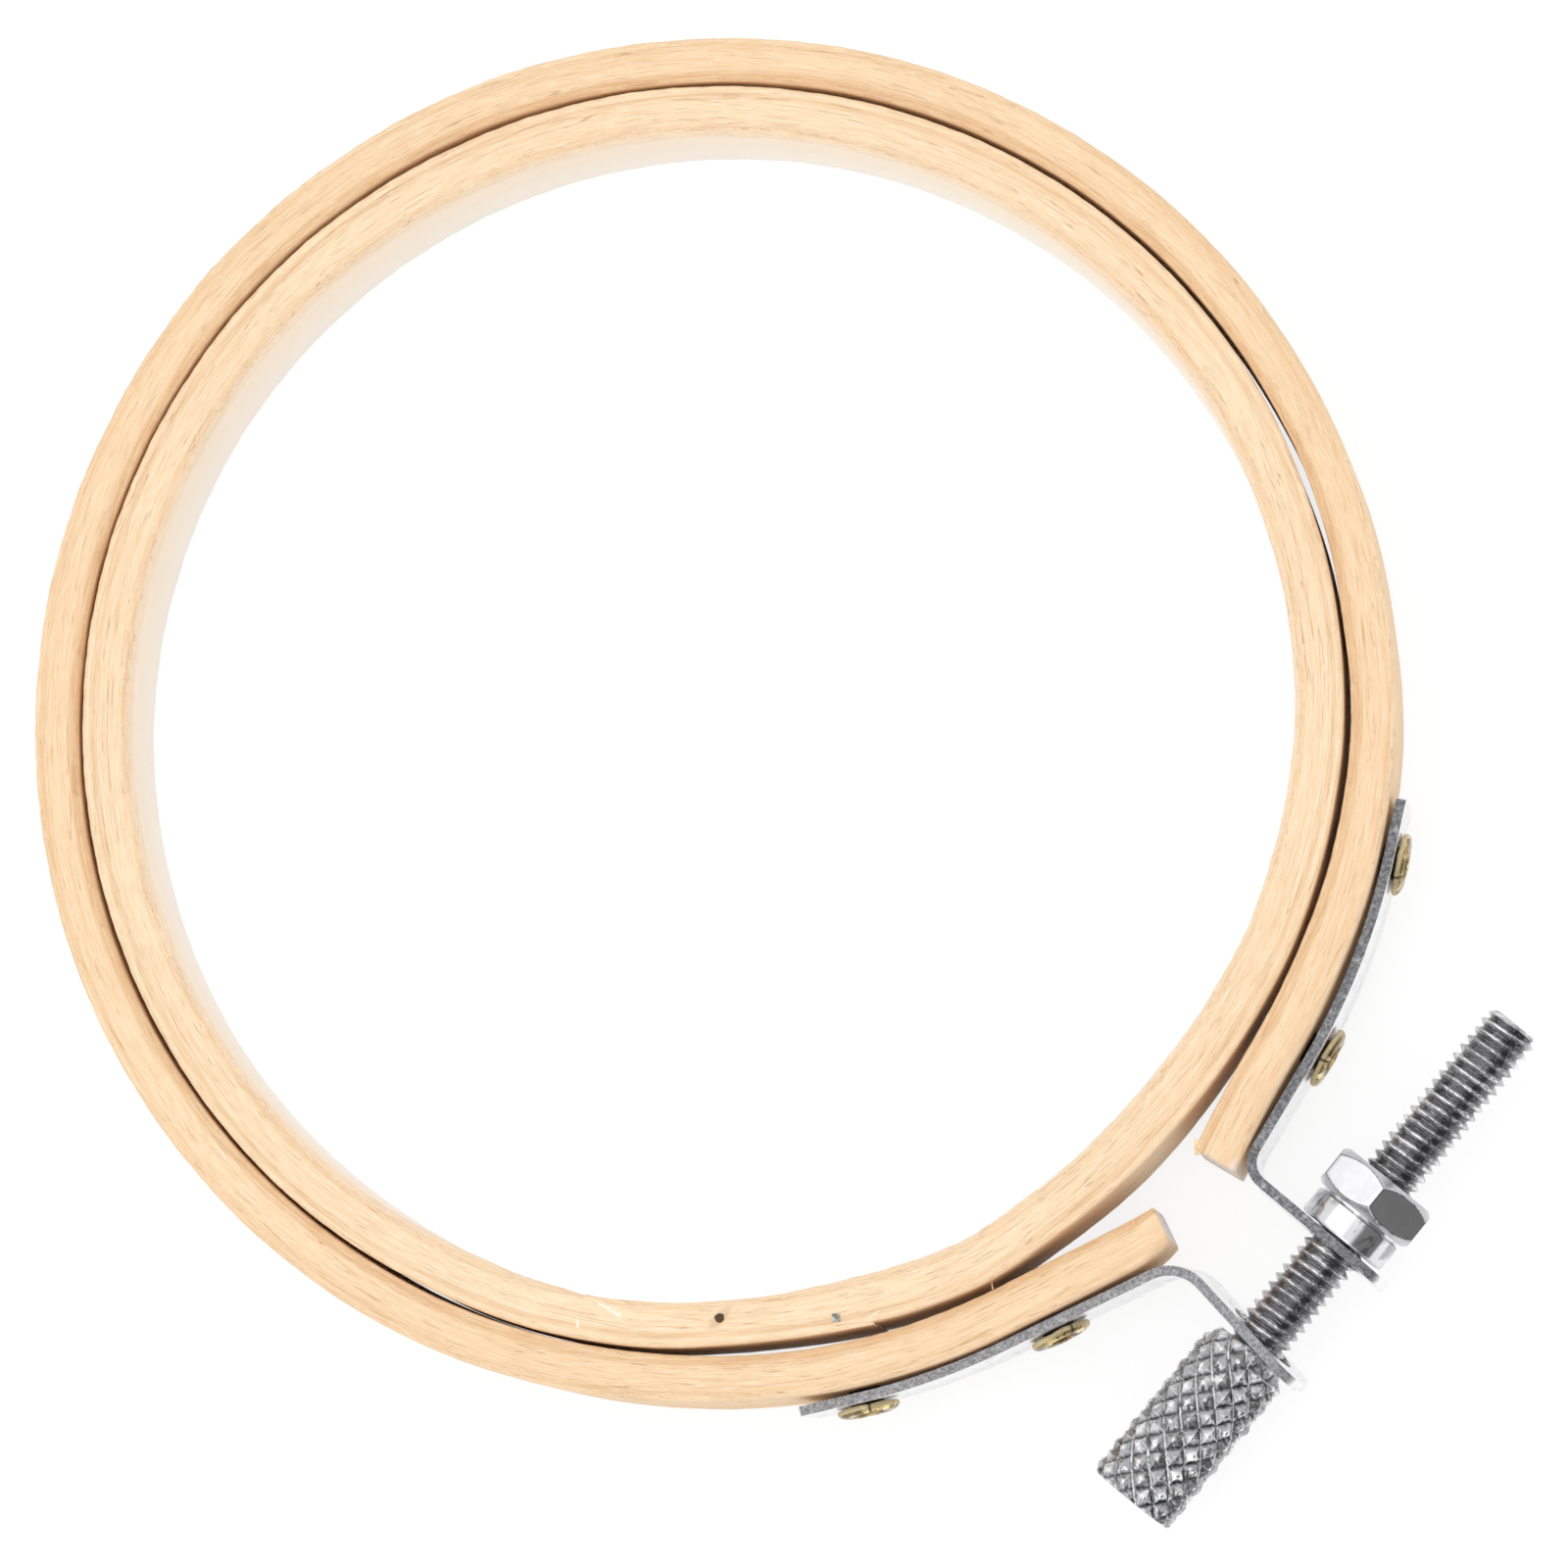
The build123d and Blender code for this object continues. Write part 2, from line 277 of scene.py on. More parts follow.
# A screen colour, 0 to 255, as the shader's linear one
def colour(red, green, blue):
    c = np.array((red, green, blue)) / 255
    linear = np.where(c > 0.04045, ((c + 0.055) / 1.055) ** 2.4, c / 12.92)
    return (*map(float, linear), 1.0)


bambooLook = {
    "outer": (colour(250, 221, 183), colour(243, 207, 166)),
    "inner": (colour(252, 227, 192), colour(248, 217, 179)),
    "dark": colour(222, 176, 126),
    "line": colour(186, 138, 92),
    "fray": colour(255, 243, 222),
    # The inner wall's pale sanded tone, with painted light in it
    "sandedPaleAndLit": colour(254, 240, 222),
    "paintedLightBelow": colour(255, 251, 245),
    "endGrainAndLight": colour(255, 249, 245),
    "hole": colour(84, 62, 42),
    "roughness": 0.6,
    # How often each noise varies in a millimetre along, outwards and up, then its detail,
    # roughness and distortion
    "noises": {
        "broad": ((0.04, 0.7, 0.5), 3.0, 0.6, 0.3),
        "fibre": ((0.22, 6.0, 6.0), 4.0, 0.7, 0.2),
        "fine": ((0.6, 17.0, 17.0), 3.0, 0.7, 0.3),
        "fleck": ((0.6, 12.0, 12.0), 1.5, 0.5),
        "fray": ((0.9, 9.0, 9.0), 1.0, 0.5),
        "broken": ((0.3, 2.0, 2.0), 3.0, 0.7),
        "crack": ((0.035, 1.5, 1.1), 2.0, 0.45),
        "hair": ((0.12, 4.2, 3.4), 2.0, 0.5),
    },
}


# Streaks run along the grain, whose three parts are millimetres along the strip, outwards
# and up. Noise squeezed across the strip gives soft bands, fibres, and short dark and pale
# flecks, and the lines where a slow noise crosses its middle value are cracks and hairs.
# End grain lies past either end of the strip, and on the outer corner near the far one. Its pale
# tone is painted lighter still, as painted light on the end faces.
# A hole is a dark spot of painted shade, with scuffs beside it.
def bambooFinish(name, tones, seed, length, bands, paleAndLitInside=False, hole=None):
    look, f = bambooLook, Finish(name)
    pale, middle = look[tones]
    place = f.mark()
    moved = (seed * 37.0, seed * 5.0, seed * 3.0)
    grain = f.node("VectorMath", {"operation": "ADD"}, {0: place, 1: moved})
    broad, fibre, fine, fleck, fray, broken, crack, hair = (
        f.noise(f.scaled(grain, often), 1.0, *rest) for often, *rest in look["noises"].values()
    )
    crack = (1 - abs(crack - 0.5).between(0.002, 0.008)) * broken.between(0.42, 0.58)
    hair = (1 - abs(hair - 0.5).between(0.004, 0.018)) * (1 - broken).between(0.46, 0.58)
    tone = f.mix(broad.between(0.35, 0.68), pale, middle)
    tone = f.mix(fibre.between(0.5, 0.76) * 0.5, tone, look["dark"])
    tone = f.mix(fine.between(0.52, 0.7) * 0.6, tone, look["dark"])
    tone = f.mix((1 - fine).between(0.54, 0.68) * 0.55, tone, look["fray"])
    tone = f.mix(fleck.between(0.68, 0.78) * 0.2, tone, look["line"])
    along, outwards, upwards = f.parts(place)
    # Denser, browner fibres lie in bands that wander a little
    wander = f.noise(f.scaled(place, (0.03, 0.0, 0.2)), 1.0, 2.0) - 0.5
    for at, width, strength in bands:
        near = 1 - abs(outwards - at + wander * 0.8).between(width * 0.3, width)
        tone = f.mix(near * fibre.between(0.25, 0.6) * strength, tone, look["dark"])
    tone = f.mix(crack * 0.58, tone, look["line"])
    tone = f.mix(hair * 0.5, tone, look["line"])
    tone = f.mix(fray.between(0.7, 0.76) * 0.5, tone, look["fray"])
    if paleAndLitInside:
        # The inner wall is sanded, and paler below its rounded upper edge, partly from the sanding
        # and partly as painted light; lower down, painted light makes it paler still
        inner = (0 - outwards).between(0.8, 1.5) * (1 - upwards.between(2.4, 3.9) * 0.9)
        tone = f.mix(inner * 0.9, tone, look["sandedPaleAndLit"])
        # Painted light: paler towards the bottom of the inner wall, as if lit from below
        tone = f.mix(inner * (0 - upwards).between(-1.0, 4.0) * 0.8, tone, look["paintedLightBelow"])
    pores = f.noise(f.scaled(place, (0.0, 6.0, 6.0)), 1.0, 2.0, 0.6)
    # End grain: its own pale tone, raised with painted light
    endTone = f.mix(pores.between(0.55, 0.68) * 0.4, look["endGrainAndLight"], look["dark"])
    past = (0 - along).between(0.1, 0.4) + (along - length).between(0.1, 0.4)
    corner = (along - length).between(-0.9, -0.2) * outwards.between(0.7, 1.3) * 0.5
    tone = f.mix(past.maths("MAXIMUM", past, corner), tone, endTone)
    height = fibre * 0.6 + fine * 0.7 + fleck * -0.4 + fray * 0.3 + crack * -0.5 + hair * -0.5
    if hole:
        gap = f.distance(f.place(), hole["at"])
        ragged = gap + (f.noise(f.place(), 2500.0, 2.0) - 0.5) * 0.0002
        # Painted shade: the hole is a dark spot with no hollow in the mesh
        deep = 1 - ragged.between(hole["radius"] * 0.8, hole["radius"])
        squeezed = tuple(a * b for a, b in zip(hole["at"], hole["stretch"]))
        beside = f.distance(f.scaled(f.place(), hole["stretch"]), squeezed)
        scuffed = 1 - (beside + (fine - 0.5) * 0.0009).between(0.0003, 0.0006)
        tone = f.mix(scuffed * 0.35, tone, look["line"])
        tone = f.mix(deep, tone, look["hole"])
        height = height - deep * 3.0
    return f.done(
        Base_Color=tone, Roughness=look["roughness"] + (fine - 0.5) * 0.25,
        Normal=f.bump(0.4, 0.00012, height), Specular_IOR_Level=0.3,
    )


# A section's corners, anticlockwise from the outer upper one
diagonals = ((1, 1), (-1, 1), (-1, -1), (1, -1))


# Directions round a section: flat parts and quarter-circle corners, all anticlockwise
def sectionPoints(across, upright, corner):
    quarter = np.radians(np.linspace(0, 90, corner + 1))
    flats = (across, upright, across, upright)
    fx, fy, dx, dy = [], [], [], []
    for i, ((sx, sy), n) in enumerate(zip(diagonals, flats)):
        turn = quarter + i * np.pi / 2
        fx.append(np.full(corner + 1, sx)), fy.append(np.full(corner + 1, sy))
        dx.append(np.cos(turn)), dy.append(np.sin(turn))
        nx, ny = diagonals[(i + 1) % 4]
        t = np.linspace(0, 1, n + 1)[1:-1]
        fx.append(sx + (nx - sx) * t), fy.append(sy + (ny - sy) * t)
        dx.append(np.full(n - 1, np.cos(turn[-1]))), dy.append(np.full(n - 1, np.sin(turn[-1])))
    return [np.concatenate(v) for v in (fx, fy, dx, dy)]


# A strip with a rounded rectangular section. For each row: a point (x, y) of its middle
# line, the outward direction, half its width, half its height, its corner radius and how
# far along the strip it is. A section point is flat share times (half size - corner)
# plus corner times direction. The chip scales each corner's radius, and the lean shifts
# the top outwards and the bottom inwards. Returns the shell and the grain.
def strip(
    middle, outward, halfWidth, halfHeight, corner, along, section, share=1, chip=None, lean=None,
):
    fx, fy, dx, dy = [v[None, :] for v in section]
    w, h, c = halfWidth[:, None], halfHeight[:, None], corner[:, None]
    if chip is not None:
        c = np.clip(c * chip, 0.004, w * 0.8)
    x = fx * (w - c) + dx * c
    z = fy * (h - c) + dy * c
    out = x if lean is None else x + lean[:, None] * z / halfHeight.max()
    xy = middle[:, None, :] + outward[:, None, :] * out[..., None]
    rows = np.concatenate((xy, z[..., None]), axis=-1)
    # Rows that draw in to close an end lie past it
    marked = np.where(share < 1, np.where(along < along.mean(), -0.6, along.max() + 0.6), along)
    grain = np.stack((np.broadcast_to(marked[:, None], x.shape), x, z), axis=-1)
    ends = np.stack((grain[0].mean(0), grain[-1].mean(0)))
    return tube(rows), np.concatenate((grain.reshape(-1, 3), ends))


# Places along a strip with its ends bevelled and drawn in to close: how far along, how
# much the bevel cuts off, and how much of the section is left
def endedRows(start, end, step, bevel):
    t = np.linspace(0, np.pi / 2, 5)
    body = np.linspace(start + bevel, end - bevel, max(3, int((end - start) / step)))
    draw = np.linspace(1, 0.08, 5)[1:]
    first = start + bevel * (1 - np.sin(t))[::-1][:-1]
    last = end - (first - start)[::-1]
    firstCut = bevel * (1 - np.cos(t))[::-1][:-1]
    closed = np.full(4, bevel)
    along = np.concatenate((np.full(4, start), first, body, last, np.full(4, end)))
    cut = np.concatenate((closed, firstCut, np.zeros(len(body)), firstCut[::-1], closed))
    share = np.concatenate((draw[::-1], np.ones(len(along) - 8), draw))
    return along, cut, share


ring = {
    "outerWallRadius": 41.675,       # middle of the outer ring's wall
    "outerWall": 2.85,
    "innerOuterRadius": 40.0,
    "innerWall": 3.1,
    "height": 8.0,
    "outerEdge": 0.5,                # radius of each ring's rounded edges
    "innerEdge": 0.4,
    "screwStraight": (-20.0, 11.8),  # where the curve stops, and the straight length
    "nutStraight": (13.5, 7.95),
    # The screw-side end is worn away on its outer side over this length, by this much of
    # its place, half wall and lean, and the nut-side end bends out
    "worn": {"length": 2.5, "place": 0.3, "wall": 0.2, "lean": 0.1},
    "bendOut": 0.36,
    "halfBlend": 1.9,                # the halves blend this far each side of the far point
    "sway": 0.012,                   # slow waves in the rings' radius and wall
    # By angle: how far the outer ring bows out and how much thicker it is, how far the
    # inner ring lies in and how much thinner its inner side is, and how the walls lean
    "bow": (
        (-180, 0.03), (-165, -0.07), (-150, -0.09), (-140, -0.13), (-110, -0.09), (-84, -0.01),
        (-68, 0.05), (-60, 0.0), (-52, 0.01), (-48, 0.03), (-44, 0.08), (-40, 0.12), (-36, 0.2),
        (-20, 0.26), (13.5, -0.18), (20, -0.22), (30, -0.05), (37, 0.05), (42, 0.12),
        (47, 0.06), (52, -0.04), (58, 0.03), (66, 0.06), (75, 0.02), (110, 0.05), (140, 0.02),
        (160, 0.1), (172, 0.06), (180, 0.03),
    ),
    "thicker": ((-180, 0), (-110, 0), (-84, 0.15), (-60, 0.2), (-52, 0.12), (-44, 0), (180, 0)),
    "flat": (
        (-180, 0.04), (-165, 0.04), (-150, 0.06), (-125, 0.1), (-105, 0.12), (-84, 0.07),
        (-75, 0.07), (-68, -0.03), (-64, -0.04), (-56, 0.02), (-52, 0.06), (-48, 0.16),
        (-44, 0.31), (-40, 0.37), (-36, 0.38), (-32, 0.35), (-28, 0.21), (-24, 0.11),
        (-20, 0.03), (-16, 0.15), (-12, 0.34), (-8, 0.4), (-4, 0.42), (0, 0.5), (4, 0.58),
        (9, 0.62), (13, 0.6), (17, 0.53), (21, 0.4), (28, 0.3), (36, 0.2), (42, 0.09),
        (58, 0.08), (64, 0.12), (72, 0.09), (80, 0.11), (100, 0.11), (114, 0.08), (125, 0.05),
        (180, 0.04),
    ),
    "thinner": (
        (-180, 0), (-68, 0), (-64, 0.1), (-60, 0.15), (-56, 0.4), (-52, 0.3), (-40, 0.27),
        (-34, 0.12), (-28, 0), (-16, 0), (-8, -0.04), (0, -0.17), (9, -0.12), (24, 0), (180, 0),
    ),
    "outerLean": ((-180, 0), (-150, 0), (-110, 0.02), (-84, 0.08), (-60, 0.1), (-48, 0), (180, 0)),
    "innerLean": (
        (-180, 0.04), (-150, 0.0), (-110, 0.0), (-84, 0.08), (-76, 0.04), (-68, -0.06),
        (-60, 0), (-5, 0), (12, 0.08), (30, 0), (60, 0), (72, 0.07), (80, 0.11), (100, 0.11),
        (114, 0.08), (180, 0.04),
    ),
    "scarf": (-30.0, -57.0),         # where its slit meets the outer and the inner face
    "scarfRest": 0.33,               # how far over the round inner face its slit stops
    "scarfTip": 0.12,                # least thickness of its tips
    # Over this length the inner tip stands proud and the outer tip is thicker
    "tipLength": 6.0,
    "tipProud": 0.08,
    "tipThicker": 0.14,
    "tipSunk": (2.0, 0.12),          # over this length each tip is this much lower
    # Brown bands in the bamboo: distance outwards from the middle, width and strength
    "outerBands": ((-1.05, 0.4, 0.8), (0.9, 0.25, 0.35)),
    "innerBands": ((0.85, 0.3, 0.5), (-1.1, 0.3, 0.35)),
    # Slivers of torn fibre: root, way, lift, length and thickness
    "outerSlivers": (
        ((1.83, -41.65, 3.7), (0.33, 0.94, 0.0), (-0.02, 0.02, 0.1), 0.98, 0.42),
        ((-13.2, -38.3, 3.95), (0.3, 0.8, 0.3), (0.2, 0.1, 0.1), 0.3, 0.12),
        ((-4.3, -41.9, 3.95), (0.2, 0.8, 0.3), (0.2, 0.1, 0.1), 0.25, 0.1),
    ),
    "innerSlivers": (
        ((*polar(39.55, -30.3), 3.85), (0.75, 0.1, 0.2), (0.1, -0.25, 0.15), 1.0, 0.16),
        ((-30.55, -22.8, 3.93), (-0.3, 0.95, 0.0), (0.0, 0.03, 0.12), 1.9, 0.2),
        ((-32.95, -21.4, 3.95), (0.4, 0.6, 0.0), (0.02, 0.02, 0.08), 0.6, 0.14),
    ),
}


# The angle brought between -180 and 180
def wrapped(angle):
    return (angle + 180) % 360 - 180


# How much of its radius each of the four edges keeps along a strip, about 1
def unevenEdges(s, seed):
    edges = [1 + 0.25 * waves(s, seed + i, (23.0, 7.3, 3.1, 1.3)) for i in range(4)]
    return np.stack(edges, axis=-1)


# Outer ring: a straight, an arc round the far side and a straight. The point at s is the
# arc's point at the clamped angle plus what is left over along the tangent.
screwAngle, screwLength = ring["screwStraight"]
nutAngle, nutLength = ring["nutStraight"]
arcLength = np.radians(360 + screwAngle - nutAngle) * ring["outerWallRadius"]
outerLength = screwLength + arcLength + nutLength
outerBamboo = bambooFinish("outerBamboo", "outer", 1.0, outerLength, ring["outerBands"])
s, cut, share = endedRows(0.0, outerLength, 0.4, 0.1)
angle = screwAngle - np.degrees(np.clip(s - screwLength, 0, arcLength) / ring["outerWallRadius"])
outward = polar(1.0, angle)
tangent = -polar(1.0, angle + 90)
left = np.minimum(s - screwLength, 0) + np.maximum(s - screwLength - arcLength, 0)
bow = ease(wrapped(angle), ring["bow"])
bow = np.where(s < screwLength, bow * np.clip(s / screwLength, 0, 1) ** 0.5, bow)
worn = np.clip(1 - s / ring["worn"]["length"], 0, 1) ** 1.5
onNutEnd = np.clip(1 - (outerLength - s) / nutLength, 0, 1)
bow = bow - ring["worn"]["place"] * worn + ring["bendOut"] * onNutEnd ** 2
sway = ring["sway"] * waves(s, 3, (83.0, 41.0, 23.0))
middle = outward * (ring["outerWallRadius"] + bow + sway)[:, None] + tangent * left[:, None]
section = sectionPoints(7, 14, 6)
corners = np.argmax(np.stack([section[0] * a + section[1] * b for a, b in diagonals]), axis=0)
chip = unevenEdges(s, 20)
thicker = ease(wrapped(angle), ring["thicker"])
wall = (ring["outerWall"] + thicker) / 2 + ring["sway"] * waves(s, 5, (47.0, 21.0, 8.0))
wall = wall - ring["worn"]["wall"] * worn
high = np.full_like(s, ring["height"] / 2)
shell, grain = strip(
    middle, outward, (wall - cut) * share, (high - cut) * share,
    np.maximum(ring["outerEdge"] - cut * 0.6, 0.15) * share, s, section, share, chip[:, corners],
    ease(wrapped(angle), ring["outerLean"]) + ring["worn"]["lean"] * worn,
)


# A sliver of torn fibre: square rows that thin along a bent line from the root to the tip.
# The middle is root + way x length x t + lift x t squared. Its marks put it far inwards,
# where the inner ring is pale.
def sliver(root, way, lift, length, thick):
    t = np.linspace(0, 1, 7)[:, None]
    root, way, lift = (np.array(v, float) for v in (root, way, lift))
    way /= np.linalg.norm(way)
    line = root + way * length * t + lift * t ** 2
    side = np.cross(way, lift / np.linalg.norm(lift))
    over = np.cross(side, way)
    wide = thick * (1 - t) ** 0.7 + 0.01
    rows = np.stack([line + side * wide * a + over * wide * 0.4 * b for a, b in diagonals], axis=1)
    points, faces = tube(rows)
    count = len(points)
    grain = np.stack((np.full(count, 40.0), points[:, 1] * 0.3, np.full(count, 2.0)), axis=-1)
    return (points, faces), grain


shells, grains = zip((shell, grain), *(sliver(*values) for values in ring["outerSlivers"]))
farSide, halfBlend = ring["outerWallRadius"] * millimetre, ring["halfBlend"] * millimetre
halves = {
    "between": ("screw_side", "nut_side"),
    "start": (-halfBlend, farSide, 0),
    "end": (halfBlend, farSide, 0),
}
piece(
    "outerRing", shells, outerBamboo, halves,
    ("outer_ring_screw_side", "outer_ring_nut_side"), grain=np.concatenate(grains),
)

# Staple through the scarf. Its one point shows, and the other stops short in a hole, which
# is a dark spot of painted shade in the inner ring's finish.
staple = {
    "angle": -38.6,                  # and radius, of its middle
    "radius": 38.35,
    "twist": 5.8,                    # degrees that it is turned from the ring's direction
    "crown": 7.4,
    "wire": 0.5,
    "proud": 0.04,
    "shortPoint": 3.2,
    "holeShift": (0.12, 0.16),       # of the hole from that point, along and inwards
    "dark": colour(120, 116, 110),
    "bright": colour(206, 204, 200),
}
across = polar(1.0, staple["angle"] - staple["twist"] + 90)
inwards = polar(1.0, staple["angle"] - staple["twist"] + 180)
centre = polar(staple["radius"], staple["angle"])
holeBack, holeIn = staple["holeShift"]
holeAt = centre - across * (staple["crown"] / 2 - holeBack) + inwards * holeIn
# Measures of the hole's painted dark spot in metres, because the material reads object coordinates
hole = {
    "at": (*(holeAt * millimetre), ring["height"] / 2 * millimetre),
    "radius": 0.00033,
    "stretch": (0.5, 1.4, 1.0),      # of the scuffed patch beside it
}

# Inner ring: one strip that laps over itself at the scarf, where each end thins to a tip.
# The slit's radius falls evenly from the outer face to the inner face over the scarf.
scarfOuter, scarfInner = ring["scarf"]
slope = (ring["innerWall"] - ring["scarfRest"]) / (scarfOuter - scarfInner)
outerRadius = ring["innerOuterRadius"]
innerRadius = outerRadius - ring["innerWall"]
middleRadius = (outerRadius + innerRadius) / 2
innerLength = np.radians(360 + scarfOuter - scarfInner) * middleRadius
innerBamboo = bambooFinish(
    "innerBamboo", "inner", 4.0, innerLength, ring["innerBands"], paleAndLitInside=True, hole=hole,
)
s, cut, share = endedRows(0.0, innerLength, 0.4, 0.02)
angle = scarfOuter - np.degrees(s / middleRadius)
slitFirst = outerRadius - slope * (scarfOuter - angle)
slitLast = outerRadius - slope * (scarfOuter - (angle + 360))
first, last = angle > scarfInner, angle < scarfOuter - 360
nearFirst = np.clip(1 - s / ring["tipLength"], 0, 1)
nearLast = np.clip(1 - (innerLength - s) / ring["tipLength"], 0, 1)
face = innerRadius + ease(wrapped(angle), ring["thinner"]) - ring["tipProud"] * last * nearLast
low = np.where(first, np.minimum(slitFirst, outerRadius - ring["scarfTip"]), face)
low = np.maximum(low, face)
top = np.where(last, np.maximum(slitLast, low + ring["scarfTip"]), outerRadius)
top = np.minimum(top, outerRadius) + ring["tipThicker"] * nearFirst
flat = ease(wrapped(angle), ring["flat"])
# Both layers of the lap sway alike
sway = ring["sway"] * waves(angle + 360 * last, 13, (120.0, 60.0, 40.0))
outward = polar(1.0, angle)
middle = outward * ((low + top) / 2 - flat + sway)[:, None]
wall = (top - low) / 2
# The upper inner edge is sanded round, and the edges that meet in the scarf are sharp
chip = unevenEdges(s, 30)
chip[:, 1] *= 2.1
chip[first, 1:3] = 0.08
chip[last, 0] = chip[last, 3] = 0.08
sunkLength, sunk = ring["tipSunk"]
fromTip = np.minimum(s, innerLength - s)
high = ring["height"] / 2 - sunk * np.clip(1 - fromTip / sunkLength, 0, 1)
shell, grain = strip(
    middle, outward, (wall - np.minimum(cut, wall * 0.4)) * share, (high - cut) * share,
    np.minimum(ring["innerEdge"], wall * 0.8) * share, s, section, share, chip[:, corners],
    ease(wrapped(angle), ring["innerLean"]),
)
grain[:, 1] += np.concatenate((np.repeat((low + top) / 2 - middleRadius, len(section[0])), (0, 0)))
shells, grains = zip((shell, grain), *(sliver(*values) for values in ring["innerSlivers"]))
piece(
    "innerRing", shells, innerBamboo, "inner_ring", ("inner_ring",),
    grain=np.concatenate(grains),
)
print("rings made")

# Glue that shows as a line in the scarf
glue = {
    "pale": colour(240, 206, 164),
    "brown": colour(222, 180, 134),
    "recess": 0.02,                  # below the ring's faces
    "half": 0.02,                    # half its thickness
    "short": 1.4,                    # degrees that it stops before each end of the scarf
}
f = Finish("glueFinish")
speck = f.noise(f.place(), 1400.0, 3.0)
glueFinish = f.done(
    Base_Color=f.mix(speck.between(0.4, 0.7), glue["pale"], glue["brown"]),
    Roughness=0.4 + speck * 0.3,
)
angle = np.linspace(scarfOuter - glue["short"], scarfInner + glue["short"], 90)
outward = polar(1.0, angle)
slit = outerRadius - slope * (scarfOuter - angle)
middle = outward * (slit - ease(angle, ring["flat"]))[:, None]
half = np.full_like(angle, glue["half"])
tall = np.full_like(angle, ring["height"] / 2 - glue["recess"])
shell, grain = strip(middle, outward, half, tall, half * 0.3, angle, sectionPoints(1, 4, 2))
piece("scarfGlue", [shell], glueFinish, "inner_ring", ("scarf_glue",))

# Staple: square wire along a U, with its crown in the bottom face and its points up. At
# each corner of the U the section lies on the corner's bisector.
f = Finish("stapleSteel")
speck = f.noise(f.place(), 2600.0, 4.0, 0.7)
stapleSteel = f.done(
    Base_Color=f.mix(speck.between(0.42, 0.62), staple["dark"], staple["bright"]),
    Metallic=0.85, Roughness=0.25 + speck * 0.4,
)
half, wire = staple["crown"] / 2, staple["wire"] / 2
bottom = -ring["height"] / 2 - staple["proud"] + wire
point = ring["height"] / 2 + staple["proud"]
pathU = np.array(((-half, staple["shortPoint"]), (-half, bottom), (half, bottom), (half, point)))
normals = np.array(((1, 0), (1, 1), (-1, 1), (-1, 0)), float)
square = np.array(((-1, -1), (1, -1), (1, 1), (-1, 1)), float) * wire
flatXY = pathU[:, None, :] + normals[:, None, :] * square[None, :, :1]
rows = np.zeros((4, 4, 3))
rows[..., :2] = centre + across * flatXY[..., :1] + inwards * square[None, :, 1:]
rows[..., 2] = flatXY[..., 1]
piece("staple", [tube(rows)], stapleSteel, "inner_ring", ("inner_ring_staple",))

clamp = {
    "middle": (-0.3, -51.65, 0.3),
    "skew": 5.2,                     # degrees of the screw from the X axis
    "rise": 1.0,
    "shoulderAt": -4.52,
}
skew, rise = np.radians(clamp["skew"]), np.radians(clamp["rise"])
screwWay = np.array((np.cos(skew) * np.cos(rise), np.sin(skew) * np.cos(rise), np.sin(rise)))
screwSide = np.cross(screwWay, (0, 0, 1))
screwSide /= np.linalg.norm(screwSide)
screwUp = np.cross(screwSide, screwWay)


# Points at (distance along the screw, radius, turn about it, counted from its upper side)
def aboutScrew(distance, radius, turn):
    outward = screwUp * np.cos(turn)[..., None] + screwSide * np.sin(turn)[..., None]
    return np.array(clamp["middle"]) + screwWay * distance[..., None] + outward * radius[..., None]


# Rows that close an end of the screw: its last radii shrink by the shares towards the
# axis, and the middle is moved by the dish
def closingRows(distance, dish, radius, turn, shares):
    shares = np.array(shares)[:, None]
    return aboutScrew(distance + dish * (1 - shares), radius * shares, turn)


# Distance from the nearest whole number, as a share: 0 on it and 1 half way between
def zigzag(value):
    return 1 - abs(2 * (value - np.floor(value)) - 1)


screw = {
    "knurlRadius": 3.04,
    "knurlDepth": 0.36,
    "knurlStarts": 11,
    "knurlPitch": 1.57,
    "knurlCrest": 0.86,              # share of a groove's height at which it is cut flat
    "knurlWear": 0.1,
    "headLength": 11.85,
    "headRound": (0.25, 0.22),       # the free end's edge: along the head, off the radius
    "shoulderRadius": 2.35,
    "shoulderLength": 0.95,
    "threadRadius": 1.87,
    "threadRoot": 1.46,
    "threadPitch": 0.7,
    "threadEnd": 21.45,
    "threadInHead": 0.3,
    "tipChamfer": 0.45,
    # groove: painted shade that darkens the low parts of the knurl and the thread
    "groove": colour(98, 98, 100),
    "body": colour(184, 184, 186),
    "stain": colour(92, 92, 94),
    # worn: near white, painted as glints on groove floors, turning marks and random facets
    "worn": colour(246, 246, 247),
    "roughness": 0.12,
}

# Knurl: two crossing families of V grooves. The height is the lower of two zigzags of
# (starts x turn / 360 + or - distance / pitch), and it fades on the shoulder and the end.
headEnd = clamp["shoulderAt"] - screw["headLength"]
along = np.linspace(headEnd, clamp["shoulderAt"], 182)[:, None]
turn = np.linspace(0, 2 * np.pi, 264, endpoint=False)[None, :]
around = screw["knurlStarts"] * turn / (2 * np.pi)
groove = zigzag(around + along / screw["knurlPitch"])
peak = np.minimum(groove, zigzag(around - along / screw["knurlPitch"]))
peak = np.minimum(peak, screw["knurlCrest"]) / screw["knurlCrest"]
wear = 1 + screw["knurlWear"] * waves(around * 3.1 + along * 2.3, 41, (2.9, 1.7, 1.1))
fromEnd = along - headEnd
toShoulder = clamp["shoulderAt"] - along
widening = (screw["knurlRadius"] - screw["shoulderRadius"]) * toShoulder / screw["shoulderLength"]
onShoulder = toShoulder < screw["shoulderLength"]
crest = np.where(onShoulder, screw["shoulderRadius"] + widening, screw["knurlRadius"])
roundLength, roundDepth = screw["headRound"]
crest = crest - roundDepth * np.clip(1 - fromEnd / roundLength, 0, 1) ** 2
